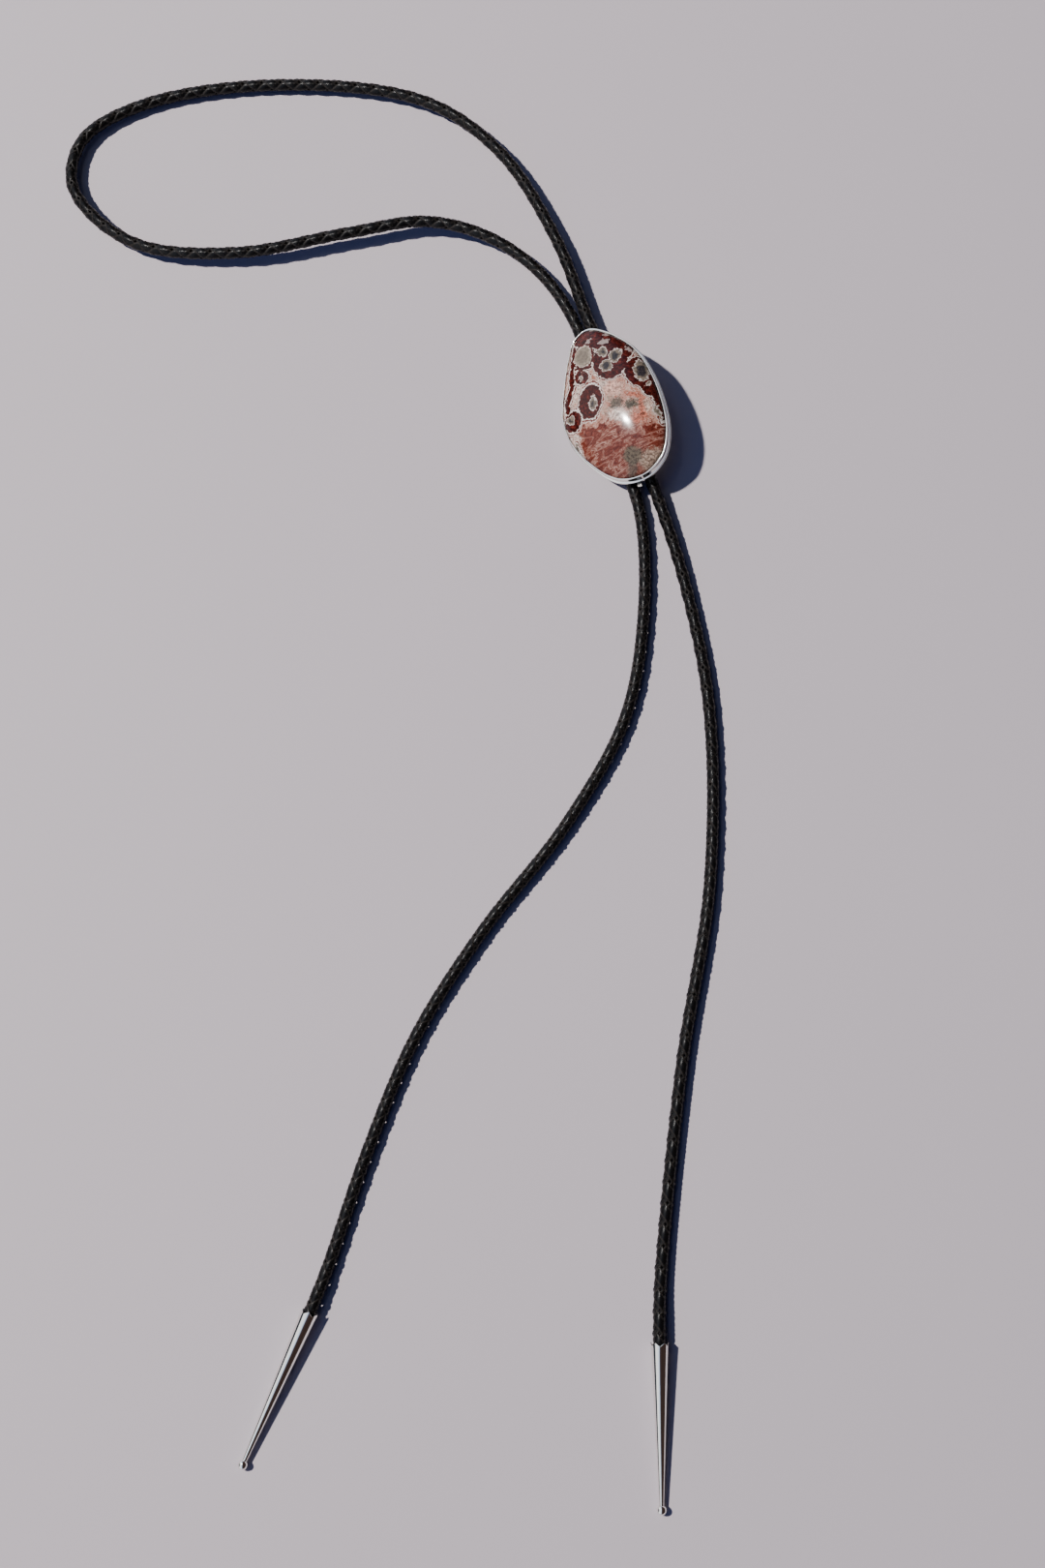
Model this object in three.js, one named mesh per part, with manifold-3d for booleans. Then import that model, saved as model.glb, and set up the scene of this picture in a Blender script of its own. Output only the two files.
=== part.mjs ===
// Bolo tie lying on a table: one braided leather cord that runs from tip to tip through the clip of an
// ornamental slide, a polished egg-shaped stone in a silver bezel cup.
// Millimetres, +Z up, table at z = 0. The origin lies under the middle of the slide, +Y points along the
// slide towards the neck loop and the two tips lie towards -Y.
import * as THREE from 'three';
import { mergeVertices } from 'three/addons/utils/BufferGeometryUtils.js';
import Module from 'manifold-3d';

// Cord
const cordDiameter = 4;
const cordSides = 10;
const cordSteps = 80;
const tableGap = 0.1;
const fitGap = 0.3;

// Stone
const stoneWidth = 31.6;
const stoneLength = 50.6;
const girdleHeight = 2.1;
const domeHeight = 4.6;

// Bezel cup
const cupFloor = 0.8;
const bezelHeight = 3.2;
const bezelWall = 0.4;
const lipReach = 0.25;
const lipThickness = 0.3;
const flangeReach = 0.45;

// Cord clip
const clipSheet = 0.5;
const clipPlate = 0.8;
const clipPlateWidth = 13.4;
const clipLength = 23;
const channelGap = 0.3;
const tongueWidth = 1.2;
const tongueReach = 1.2;

// Tips
const tipLength = 48;
const tipWall = 0.35;
const neckDiameter = 1.4;
const ballDiameter = 2.9;
const crownPoints = 6;
const crownDepth = 1;
const cordInTip = 10;
const socketDepth = 13;

// Pose on the table: the slide leans to its left on one channel of the clip
const slideRoll = THREE.MathUtils.degToRad(18);
const leftMouth = new THREE.Vector2(-172.4, -235.4);
const leftHeading = THREE.MathUtils.degToRad(-41.6);
const rightMouth = new THREE.Vector2(-78.5, -275.5);
const rightHeading = THREE.MathUtils.degToRad(-18.1);
const rightCrownTurn = Math.PI / crownPoints;

// Outline of the stone seen from its face, clockwise from the narrow end:
// across as a share of half its width, along as a share of half its length
const stoneOutline = [
  { across: 0.11, along: 1.0 },
  { across: 0.54, along: 0.8 },
  { across: 0.84, along: 0.52 },
  { across: 0.97, along: 0.18 },
  { across: 0.99, along: -0.18 },
  { across: 0.9, along: -0.56 },
  { across: 0.64, along: -0.86 },
  { across: 0.19, along: -1.0 },
  { across: -0.32, along: -0.93 },
  { across: -0.71, along: -0.64 },
  { across: -0.95, along: -0.29 },
  { across: -0.95, along: 0.06 },
  { across: -0.73, along: 0.4 },
  { across: -0.46, along: 0.73 },
  { across: -0.21, along: 0.94 },
];

// Route of the cord's middle on the table, lift being its height above a cord that lies flat
const leftTail = [
  { x: -163, y: -224, lift: 0 },
  { x: -143, y: -197, lift: 0 },
  { x: -119, y: -169, lift: 0 },
  { x: -90, y: -145, lift: 0 },
  { x: -56, y: -122, lift: 0 },
  { x: -28, y: -96, lift: 0 },
  { x: -12, y: -67, lift: 0 },
  { x: -2, y: -35, lift: 0.2 },
];
const neckLoop = [
  { x: -1, y: 33, lift: 0.6 },
  { x: -6, y: 52, lift: 1.5 },
  { x: -18, y: 69, lift: 2.6 },
  { x: -36, y: 80.5, lift: 3.3 },
  { x: -62, y: 84.5, lift: 3.5 },
  { x: -97, y: 89, lift: 2.8 },
  { x: -126, y: 101, lift: 2 },
  { x: -139, y: 117, lift: 1.6 },
  { x: -142, y: 131, lift: 1.3 },
  { x: -134, y: 144.5, lift: 0.9 },
  { x: -111, y: 150.5, lift: 0.5 },
  { x: -67, y: 143.5, lift: 0.6 },
  { x: -24, y: 123, lift: 1.6 },
  { x: -6, y: 98, lift: 2.2 },
  { x: 2, y: 63, lift: 2.4 },
  { x: 3, y: 33.5, lift: 2.2 },
];
const rightTail = [
  { x: 5, y: -34, lift: 1 },
  { x: 4, y: -62, lift: 0 },
  { x: -2, y: -101, lift: 0 },
  { x: -20, y: -153, lift: 0 },
  { x: -46, y: -202, lift: 0 },
  { x: -72, y: -258, lift: 0 },
];

const cordRadius = cordDiameter / 2;
const boreRadius = cordRadius + fitGap;
const channelRadius = boreRadius + clipSheet;
const channelX = channelRadius + channelGap / 2;
const plateBottom = 2 * channelRadius - clipSheet;
const plateTop = plateBottom + clipPlate;
const mouthRadius = boreRadius + tipWall;
const ballRadius = ballDiameter / 2;

const silver = { color: 0xd9d6cf, metalness: 1, roughness: 0.18 };
const agate = { color: 0x9c4a38, metalness: 0, roughness: 0.12 };
const leather = { color: 0x121214, metalness: 0, roughness: 0.42 };
const steel = { color: 0xb9b7b2, metalness: 1, roughness: 0.35 };

function mesh(name, geometry, material) {
  const piece = new THREE.Mesh(geometry, new THREE.MeshStandardMaterial(material));
  piece.name = name;
  return piece;
}

// A closed body through rings of as many points each, counter-clockwise about +Z, ends closed by fans
function loft(rings) {
  const count = rings[0].length;
  const middle = (ring) => ring.reduce((sum, p) => sum.add(p), new THREE.Vector3()).divideScalar(count);
  const points = [...rings.flat(), middle(rings[0]), middle(rings[rings.length - 1])];
  const firstMiddle = points.length - 2;
  const lastMiddle = points.length - 1;
  const lastRing = (rings.length - 1) * count;
  const index = [];
  for (let j = 0; j < count; j += 1) {
    const next = (j + 1) % count;
    index.push(firstMiddle, next, j);
    for (let row = 0; row < lastRing; row += count) {
      index.push(row + j, row + next, row + count + next);
      index.push(row + j, row + count + next, row + count + j);
    }
    index.push(lastMiddle, lastRing + j, lastRing + next);
  }
  const geometry = new THREE.BufferGeometry().setFromPoints(points);
  geometry.setIndex(index);
  geometry.computeVertexNormals();
  return geometry;
}

// The stone's outline at height z, moved outwards by a distance and drawn in to a share of its size
function outlineRing(z, outwards, share = 1) {
  const corner = (row) => new THREE.Vector3(row.across * stoneWidth / 2, row.along * stoneLength / 2, 0);
  const curve = new THREE.CatmullRomCurve3(stoneOutline.map(corner).reverse(), true, 'centripetal');
  const ringPoints = 72;
  return Array.from({ length: ringPoints }, (_, i) => {
    const along = curve.getTangentAt(i / ringPoints);
    const edge = curve.getPointAt(i / ringPoints);
    const normal = new THREE.Vector3(along.y, -along.x, 0);
    return edge.addScaledVector(normal, outwards).multiplyScalar(share).setZ(z);
  });
}

// Silver cup: floor with a flange, upright bezel and a lip burnished in over the stone's edge;
// the first ring parts the middle of the flat back, over the clip, from the free back around it
function bezelCup() {
  const inner = fitGap;
  const outer = inner + bezelWall;
  const rim = cupFloor + bezelHeight;
  return loft([
    outlineRing(0, outer + flangeReach, 0.6),
    outlineRing(0, outer + flangeReach),
    outlineRing(cupFloor * 0.75, outer + flangeReach),
    outlineRing(cupFloor, outer + flangeReach * 0.7),
    outlineRing(cupFloor, outer),
    outlineRing(rim - lipThickness, outer),
    outlineRing(rim - lipThickness * 0.3, outer - bezelWall * 0.25),
    outlineRing(rim, outer - bezelWall),
    outlineRing(rim - lipThickness * 0.3, inner - lipReach),
    outlineRing(rim - lipThickness, inner - lipReach * 0.6),
    outlineRing(rim - 2 * lipThickness, inner),
    outlineRing(cupFloor, inner),
  ]);
}

// Cabochon: flat back, upright girdle and a low dome
function stone() {
  const back = cupFloor + fitGap;
  const bevel = 0.35;
  const domeRings = 9;
  const rings = [
    outlineRing(back, -bevel),
    outlineRing(back + bevel, 0),
  ];
  for (let i = 0; i < domeRings; i += 1) {
    const rise = (i / domeRings) * Math.PI / 2;
    rings.push(outlineRing(back + girdleHeight + domeHeight * Math.sin(rise), 0, Math.cos(rise)));
  }
  return loft(rings);
}

function toManifold(wasm, geometry) {
  const bare = geometry.clone();
  bare.deleteAttribute('normal');
  bare.deleteAttribute('uv');
  const merged = mergeVertices(bare, 1e-4);
  const vertProperties = new Float32Array(merged.attributes.position.array);
  const triVerts = new Uint32Array(merged.index.array);
  return new wasm.Manifold(new wasm.Mesh({ numProp: 3, vertProperties, triVerts }));
}

function fromManifold(solid) {
  const { vertProperties, triVerts } = solid.getMesh();
  const geometry = new THREE.BufferGeometry();
  geometry.setAttribute('position', new THREE.BufferAttribute(new Float32Array(vertProperties), 3));
  geometry.setIndex(new THREE.BufferAttribute(new Uint32Array(triVerts), 1));
  geometry.computeVertexNormals();
  return geometry;
}

// Clip on the slide's back: a plate over two round channels for the cord, and a narrow tongue
async function cordClip() {
  const side = clipPlateWidth / 2;
  const chord = Math.sqrt(channelRadius ** 2 - (plateBottom - channelRadius) ** 2);
  const rise = Math.atan2(plateBottom - channelRadius, chord);
  const section = new THREE.Shape();
  section.moveTo(-side, plateTop);
  section.lineTo(-side, plateBottom);
  section.absarc(-channelX, channelRadius, channelRadius, Math.PI - rise, 2 * Math.PI + rise, false);
  section.absarc(channelX, channelRadius, channelRadius, Math.PI - rise, 2 * Math.PI + rise, false);
  section.lineTo(side, plateBottom);
  section.lineTo(side, plateTop);
  for (const x of [-channelX, channelX]) {
    const bore = new THREE.Path();
    bore.absarc(x, channelRadius, boreRadius, 0, 2 * Math.PI, true);
    section.holes.push(bore);
  }
  const body = new THREE.ExtrudeGeometry(section, { depth: clipLength, bevelEnabled: false, curveSegments: 24 });
  body.rotateX(Math.PI / 2).translate(0, clipLength / 2, 0);

  const cupEnd = stoneLength / 2 + fitGap + bezelWall + flangeReach;
  const tongueLength = cupEnd + tongueReach;
  const tongueThickness = clipPlate * 0.75;
  const tongue = new THREE.BoxGeometry(tongueWidth, tongueLength, tongueThickness);
  tongue.translate(0, -tongueLength / 2, plateTop - clipPlate / 2);

  const wasm = await Module();
  wasm.setup();
  return fromManifold(toManifold(wasm, body).add(toManifold(wasm, tongue)));
}

function circleRing(radius, height) {
  const ringPoints = 8 * crownPoints;
  return Array.from({ length: ringPoints }, (_, i) => {
    const angle = i / ringPoints * 2 * Math.PI;
    const z = typeof height === 'function' ? height(i / ringPoints) : height;
    return new THREE.Vector3(radius * Math.cos(angle), radius * Math.sin(angle), z);
  });
}

// Tip: a ball, then a long hollow cone whose mouth is cut to a crown of points; +Z runs to the mouth
function tip() {
  const neckRadius = neckDiameter / 2;
  const ballTurn = Math.PI - Math.asin(neckRadius / ballRadius);
  const neckHeight = ballRadius - ballRadius * Math.cos(ballTurn);
  const coneLength = tipLength - neckHeight;
  const coneRadius = (z) => neckRadius + (mouthRadius - neckRadius) * (z - neckHeight) / coneLength;
  const crown = (share) => tipLength - crownDepth * Math.abs(2 * ((share * crownPoints) % 1) - 1);
  const ballRings = 10;
  const rings = [];
  for (let i = 1; i <= ballRings; i += 1) {
    const turn = ballTurn * i / ballRings;
    rings.push(circleRing(ballRadius * Math.sin(turn), ballRadius - ballRadius * Math.cos(turn)));
  }
  const belowCrown = tipLength - 2 * crownDepth;
  const socketEnd = tipLength - socketDepth;
  rings.push(circleRing(coneRadius(belowCrown), belowCrown));
  rings.push(circleRing(mouthRadius, crown));
  rings.push(circleRing(mouthRadius - tipWall, crown));
  rings.push(circleRing(coneRadius(belowCrown) - tipWall, belowCrown));
  rings.push(circleRing(coneRadius(socketEnd) - tipWall, socketEnd));
  return loft(rings);
}

// A tip lies on its mouth and its ball, mouth towards the cord, its crown turned about the cone's axis
function placedTip(name, mouth, heading, crownTurn) {
  const group = new THREE.Group();
  const pitch = Math.asin((mouthRadius - ballRadius) / (tipLength - ballRadius));
  const piece = mesh(name, tip(), silver);
  piece.position.z = -tipLength;
  piece.rotation.z = crownTurn;
  group.add(piece);
  group.rotation.set(pitch - Math.PI / 2, 0, heading, 'ZXY');
  group.position.set(mouth.x, mouth.y, mouthRadius);
  group.updateMatrixWorld(true);
  return group;
}

// Slide: the clip below, the cup a bond's gap above its plate and the stone in the cup
async function placedSlide() {
  const slide = new THREE.Group();
  const setting = new THREE.Group();
  setting.position.z = plateTop + fitGap;
  setting.add(mesh('bezel_cup', bezelCup(), silver));
  setting.add(mesh('stone', stone(), agate));
  slide.add(setting);
  slide.add(mesh('cord_clip', await cordClip(), steel));
  slide.rotation.y = -slideRoll;
  const box = new THREE.Box3().setFromObject(slide, true);
  const middle = box.getCenter(new THREE.Vector3());
  slide.position.set(-middle.x, -middle.y, -box.min.z);
  slide.updateMatrixWorld(true);
  return slide;
}

function onTable(rows) {
  return rows.map((row) => new THREE.Vector3(row.x, row.y, cordRadius + tableGap + row.lift));
}

// The straight stretch through one channel of the clip, from its tail end to its loop end
function throughChannel(slide, x) {
  const reach = clipLength / 2 + cordDiameter / 2;
  return [-reach, 0, reach].map((y) => slide.localToWorld(new THREE.Vector3(x, y, channelRadius)));
}

// The straight stretch at a tip, from the cord's end in the socket to just outside the mouth
function throughMouth(tipGroup) {
  return [-cordInTip, cordDiameter].map((z) => tipGroup.localToWorld(new THREE.Vector3(0, 0, z)));
}

// One end of the cord drawn in to a share of its width, to fit the socket
function narrowEnd(geometry, end, share) {
  const points = geometry.attributes.position;
  const point = new THREE.Vector3();
  for (let i = 0; i < points.count; i += 1) {
    point.fromBufferAttribute(points, i);
    if (point.distanceTo(end) < cordDiameter) {
      point.sub(end).multiplyScalar(share).add(end);
      points.setXYZ(i, point.x, point.y, point.z);
    }
  }
}

function cord(slide, leftTip, rightTip) {
  const route = new THREE.CatmullRomCurve3([
    ...throughMouth(leftTip),
    ...onTable(leftTail),
    ...throughChannel(slide, -channelX),
    ...onTable(neckLoop),
    ...throughChannel(slide, channelX).reverse(),
    ...onTable(rightTail),
    ...throughMouth(rightTip).reverse(),
  ], false, 'centripetal');
  route.arcLengthDivisions = 2000;
  const section = new THREE.Shape(Array.from({ length: cordSides }, (_, i) => {
    const angle = i / cordSides * 2 * Math.PI;
    return new THREE.Vector2(cordRadius * Math.cos(angle), cordRadius * Math.sin(angle));
  }));
  const geometry = new THREE.ExtrudeGeometry(section, { extrudePath: route, steps: cordSteps, bevelEnabled: false });
  const coneSlope = (mouthRadius - neckDiameter / 2) / tipLength;
  const endRadius = cordRadius - cordInTip * coneSlope - fitGap / 2;
  narrowEnd(geometry, route.getPoint(0), endRadius / cordRadius);
  narrowEnd(geometry, route.getPoint(1), endRadius / cordRadius);
  return geometry;
}

const boloTie = new THREE.Group();
const slide = await placedSlide();
const leftTip = placedTip('tip_left', leftMouth, leftHeading, 0);
const rightTip = placedTip('tip_right', rightMouth, rightHeading, rightCrownTurn);
boloTie.add(slide, leftTip, rightTip, mesh('cord', cord(slide, leftTip, rightTip), leather));

export default boloTie;
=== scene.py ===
"""Bolo tie on a table: braided leather cord, polished stone in a silver bezel cup, two silver tips."""
import math
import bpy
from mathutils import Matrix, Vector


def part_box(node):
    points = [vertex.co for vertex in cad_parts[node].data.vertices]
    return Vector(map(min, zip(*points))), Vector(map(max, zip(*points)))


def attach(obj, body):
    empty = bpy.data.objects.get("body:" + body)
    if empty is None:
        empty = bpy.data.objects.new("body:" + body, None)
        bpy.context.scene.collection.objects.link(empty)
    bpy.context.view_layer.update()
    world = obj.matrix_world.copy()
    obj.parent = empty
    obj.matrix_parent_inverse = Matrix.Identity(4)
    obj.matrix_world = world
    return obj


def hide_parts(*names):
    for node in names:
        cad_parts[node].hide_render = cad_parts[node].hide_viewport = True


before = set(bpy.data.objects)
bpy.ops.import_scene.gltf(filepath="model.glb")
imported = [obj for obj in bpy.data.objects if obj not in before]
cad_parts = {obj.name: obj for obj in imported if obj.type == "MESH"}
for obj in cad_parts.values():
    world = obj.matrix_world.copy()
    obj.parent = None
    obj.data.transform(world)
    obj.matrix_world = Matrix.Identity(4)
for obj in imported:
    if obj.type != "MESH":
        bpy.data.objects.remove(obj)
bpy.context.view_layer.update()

from types import SimpleNamespace

import bpy
import numpy as np
from bpy.props import FloatProperty, FloatVectorProperty, IntProperty, PointerProperty
from mathutils import Matrix, Vector

bl_info = {
    "name": "Bolo Tie",
    "version": (1, 0, 0),
    "blender": (4, 5, 0),
    "location": "View3D > Sidebar > Bolo Tie",
    "description": "Makes a bolo tie with a braided cord, a stone slide and cone tips on a table",
    "category": "Add Mesh",
}

MM = 0.001

# Gaps, depths and reaches that the pieces share, in millimetres
FIT_GAP = 0.3
TABLE_GAP = 0.1
CORD_IN_TIP = 10
CORD_OUT_OF_TIP = 4
SOCKET_DEPTH = 13
CUP_FLOOR = 0.8
BOARD_REACH = 1500

# The camera, and the photograph's frame in its pixels
CAMERA_PLACE = Vector((-0.10876, -0.216, 0.586))
CAMERA_AIM = Vector((-0.06443, -0.10532, 0))
CAMERA_ROLL = 3.7
LENS = 44.44
SENSOR = 36
PHOTO_WIDTH = 1080
PHOTO_HEIGHT = 1620

# The clip under the slide and what sits on it, in millimetres and degrees
SLIDE_ROLL = 18
CLIP_LENGTH = 23
CLIP_WIDTH = 13.4
CLIP_TOP = 5.9
CHANNEL_X = 2.95
CHANNEL_Z = 2.8
CHANNEL_REACH = 13.5
SETTING_Z = CLIP_TOP + FIT_GAP
GIRDLE_TOP = 3.2
GIRDLE_SWELL = 0.16

# How finely the meshes are divided
CURVE_STEPS = 24
CUP_POINTS = 288
STONE_POINTS = 192
DOME_RINGS = 40
CROWN_STEPS = 24
BALL_RINGS = 24
CONE_RINGS = 14
BRAID_RINGS_PER_PITCH = 10

# Where pieces are rounded or sharp: an edge in millimetres, and the least sharp angle in degrees
EDGE_ROUND = 0.06
TIP_SHARP = 35
CUP_SHARP = 40
STONE_SHARP = 50
# Waves that burnishing leaves in the cup's rim: size in millimetres, waves round it, start
RIM_WAVES = ((0.03, 9, 1), (0.025, 17, 0), (0.02, 31, 2))

# Where the tips lie, in millimetres and degrees
TIP_PLACES = {
    "tip_left": {"mouth": (-172.4, -235.4), "heading": -41.6, "crown_turn": 0},
    "tip_right": {"mouth": (-78.5, -275.5), "heading": -18.1, "crown_turn": 30},
}

# The cord's route: across, along, lift above a cord that lies flat, in millimetres
LEFT_TAIL = [
    (-163, -224, 0), (-143, -197, 0), (-119, -169, 0), (-90, -145, 0), (-56, -122, 0), (-28, -96, 0),
    (-12, -67, 0), (-2, -35, 0.2),
]
NECK_LOOP = [
    (-1, 33, 0.6), (-6, 52, 1.5), (-18, 69, 2.6), (-36, 80.5, 3.3), (-62, 84.5, 3.5), (-97, 89, 2.8),
    (-126, 101, 2), (-139, 117, 1.6), (-142, 131, 1.3), (-134, 144.5, 0.9), (-111, 150.5, 0.5),
    (-67, 143.5, 0.6), (-24, 123, 1.6), (-6, 98, 2.2), (2, 63, 2.4), (3, 33.5, 2.2),
]
RIGHT_TAIL = [
    (5, -34, 1), (4, -62, 0), (-2, -101, 0), (-20, -153, 0), (-46, -202, 0), (-72, -258, 0),
]
# How far the braid has turned about the cord, in degrees, at shares of its length
BRAID_TURNS = ((0, 45), (0.25, 45), (0.4, 0), (0.7, 0), (0.8, 10), (0.9, 80), (1, 90))
# A strand's section, as shares of the braid's radius, and its corners in degrees
STRANDS = 4
BRAID_SWELL = 1.035
STRAND_THICKNESS = 0.25
WEAVE_SWING = 0.09
STRAND_REACH = 78
STRAND_CORNERS = (0, 14, 32, 58, 90, 122, 148, 166, 180, 220, 270, 320)
STRAND_ROUNDNESS = 0.62
END_NARROWING = 0.16
# How far to each side the cord's direction is taken, and the leather's grain along a strand
DIRECTION_REACH = 0.4
GRAIN_LENGTH = 10
GRAIN_SHIFT = 0.37

# The stone's outline, clockwise from the narrow end, as shares of half its width and length
STONE_OUTLINE = [
    (0.11, 1.0), (0.54, 0.8), (0.84, 0.52), (0.97, 0.18), (0.99, -0.18), (0.9, -0.56), (0.64, -0.86),
    (0.19, -1.0), (-0.32, -0.93), (-0.71, -0.64), (-0.95, -0.29), (-0.95, 0.06), (-0.73, 0.4),
    (-0.46, 0.73), (-0.21, 0.94),
]

# An enlarged look at the photograph: its corner in the photograph's pixels and how much it is enlarged
LOOK_CORNER = (560, 320)
LOOK_ENLARGED = 7.84

# Marks on the stone, read off that look: middle across and down, half sizes, turn in degrees
RED_ORBS = {
    "narrow_end_left": (350, 245, 95, 66, 30),
    "narrow_end_middle": (500, 235, 160, 90, -8),
    "narrow_end_right": (625, 300, 120, 80, -40),
    "round_the_beige_orb": (332, 380, 92, 96, 0),
    "large_ring": (550, 415, 145, 138, 0),
    "small_ring": (320, 545, 58, 60, 0),
    "under_the_beige_orb": (325, 470, 85, 18, 8),
    "shoulder": (785, 495, 125, 110, 0),
    "below_the_shoulder": (880, 610, 75, 120, 35),
    "right_edge": (955, 740, 45, 130, 12),
    "right_edge_end": (990, 840, 30, 70, 5),
    "oval_ring": (390, 745, 92, 145, -5),
    "left_ring": (250, 905, 68, 92, -8),
    "low_left_edge": (300, 1150, 18, 48, 40),
    "left_of_the_beige_orb": (250, 400, 20, 110, 8),
    "left_edge_high": (236, 555, 26, 85, 10),
    "left_edge_middle": (228, 680, 24, 85, -8),
    "left_edge_low": (203, 790, 24, 70, 15),
}
CORES = {
    "large_ring_upper": (490, 338, 48, 40, 25),
    "large_ring_right": (592, 368, 46, 60, -35),
    "large_ring_lower": (520, 450, 58, 46, 35),
    "small_ring": (320, 540, 14, 28, 0),
    "shoulder": (805, 490, 70, 80, 0),
    "below_the_shoulder": (860, 590, 22, 14, 30),
    "right_edge": (940, 820, 24, 62, 10),
    "oval_ring": (415, 755, 34, 60, 0),
    "left_ring": (232, 895, 32, 44, -15),
    "low_left": (285, 1120, 20, 44, 40),
}
FLECKS = {
    "narrow_end_middle": (497, 255, 46, 18, 20),
    "narrow_end_left": (372, 258, 34, 10, 50),
    "narrow_end_top": (520, 200, 30, 12, -10),
    "by_the_shoulder": (700, 320, 40, 14, -35),
}
BEIGE_ORB = {"beige_orb": (330, 378, 74, 80, 0)}
# Softer places in the ground, and a painted haze of white round the glare's reflection: the mark, its screen
# colour and how strongly it covers
GROUND_PLACES = {
    "pink_centre": ((560, 620, 90, 60, -20), "caa392", 0.75),
    "white_by_the_oval_ring": ((470, 590, 60, 40, 20), "cdc1b6", 0.7),
    "white_left": ((275, 640, 36, 110, 0), "c9bfb4", 0.8),
    "white_low_left": ((265, 1070, 45, 60, -40), "c9c0b6", 0.75),
    "cream_by_the_edge": ((860, 765, 42, 95, -20), "c3ae9e", 0.8),
    "salmon_vein_upper": ((760, 690, 75, 20, -12), "a85f45", 0.85),
    "salmon_vein_side": ((815, 790, 26, 90, 10), "a85f45", 0.8),
    "salmon_by_the_glare": ((790, 860, 80, 45, 20), "b06a50", 0.8),
    "olive_left": ((608, 752, 62, 42, 30), "5b5145", 0.9),
    "olive_right": ((718, 765, 64, 32, 20), "59564a", 0.9),
    "grey_green": ((745, 1180, 85, 75, 0), "665f50", 0.9),
    "grey_green_low": ((735, 1290, 42, 80, 0), "675d50", 0.8),
    "speckled_corner": ((895, 1225, 110, 85, 40), "a08f7f", 0.85),
    # Painted reflection: a white haze round the glare, painted into the stone's colour
    "painted_glare_haze": ((610, 850, 70, 50, 0), "d8cdc2", 0.6),
}

# The streaked lower third of the stone: its depth of colour, its rise to the right and its upper edge
STREAK_DEPTH = (0.69, 0.65, 0.65, 1)
STREAK_RISE = (0.366, 0.93)
STREAK_TURN = -8
STREAK_EDGE = (-5.6, -7.4)
STONE_GAMMA = 1.3
STONE_SATURATION = 0.92

# The lamps: place, aim and size in metres
LAMPS = {
    "key_light": {"place": (-1.74, 0.94, 2.24), "aim": (-0.08, -0.08, 0), "size": (0.12, 0.12)},
    "glint_light": {"place": (-0.298, 0.224, 0.95), "aim": (0, 0, 0.015), "size": (0.05, 0.014)},
}
LAMP_COLOUR = (1, 0.965, 0.93)
# The window's light: the way to it, its tint in the shade, its gain in gloss and the backdrop's tone
WINDOW_WAY = (-0.95, 0.31, 0.0)
SHADE_TINT = "93acff"
GLOSS_GAIN = 0.7
BACKDROP = "b9b7bb"


def tone(code):
    """A linear colour from the six digits of its screen colour."""
    parts = [int(code[i:i + 2], 16) / 255 for i in (0, 2, 4)]
    return tuple(c / 12.92 if c <= 0.04045 else ((c + 0.055) / 1.055) ** 2.4 for c in parts) + (1,)


def camera_matrix():
    """Where the camera stands and how it is turned."""
    aim = (CAMERA_AIM - CAMERA_PLACE).to_track_quat("-Z", "Y").to_matrix().to_4x4()
    return Matrix.Translation(CAMERA_PLACE) @ aim @ Matrix.Rotation(math.radians(CAMERA_ROLL), 4, "Z")


def slide_matrix():
    """From the slide's own millimetres to the frame's, by where the clip lies."""
    low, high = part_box("cord_clip")
    roll = math.radians(SLIDE_ROLL)
    place = Vector((
        low.x / MM + CLIP_WIDTH / 2 * math.cos(roll) + CLIP_TOP * math.sin(roll),
        high.y / MM - CLIP_LENGTH / 2,
        CHANNEL_X * math.sin(roll) + CHANNEL_Z * (1 - math.cos(roll)),
    ))
    return Matrix.Translation(place) @ Matrix.Rotation(-roll, 4, "Y")


def tip_matrix(name, tips):
    """From a tip's own millimetres, its mouth's middle at the origin, to the frame's."""
    place = TIP_PLACES[name]
    mouth_radius = tips.mouth_diameter / MM / 2
    ball_radius = tips.ball_diameter / MM / 2
    pitch = math.asin((mouth_radius - ball_radius) / (tips.length / MM - ball_radius))
    return (
        Matrix.Translation((*place["mouth"], mouth_radius))
        @ Matrix.Rotation(math.radians(place["heading"]), 4, "Z")
        @ Matrix.Rotation(pitch - math.pi / 2, 4, "X")
    )


def spline(points, closed):
    """Centripetal Catmull-Rom line through the points."""
    points = np.array(points, dtype=float)
    if closed:
        ring = np.vstack([points[-1:], points, points[:2]])
    else:
        ring = np.vstack([2 * points[:1] - points[1:2], points, 2 * points[-1:] - points[-2:-1]])
    share = (np.arange(CURVE_STEPS) / CURVE_STEPS)[:, None]
    line = []
    for p0, p1, p2, p3 in zip(ring, ring[1:], ring[2:], ring[3:]):
        d0, d1, d2 = [np.sqrt(np.linalg.norm(b - a)) for a, b in ((p0, p1), (p1, p2), (p2, p3))]
        t1 = ((p1 - p0) / d0 - (p2 - p0) / (d0 + d1) + (p2 - p1) / d1) * d1
        t2 = ((p2 - p1) / d1 - (p3 - p1) / (d1 + d2) + (p3 - p2) / d2) * d1
        c2 = -3 * p1 + 3 * p2 - 2 * t1 - t2
        c3 = 2 * p1 - 2 * p2 + t1 + t2
        line.append(p1 + t1 * share + c2 * share ** 2 + c3 * share ** 3)
    if not closed:
        line.append(points[-1:])
    return np.vstack(line)


def lengths_along(line):
    """How far along the line each of its points lies."""
    return np.concatenate([[0], np.cumsum(np.linalg.norm(np.diff(line, axis=0), axis=1))])


def points_at(line, places):
    """The line's points at these lengths along it."""
    along = lengths_along(line)
    return np.stack([np.interp(places, along, line[:, axis]) for axis in range(3)], axis=1)


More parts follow.
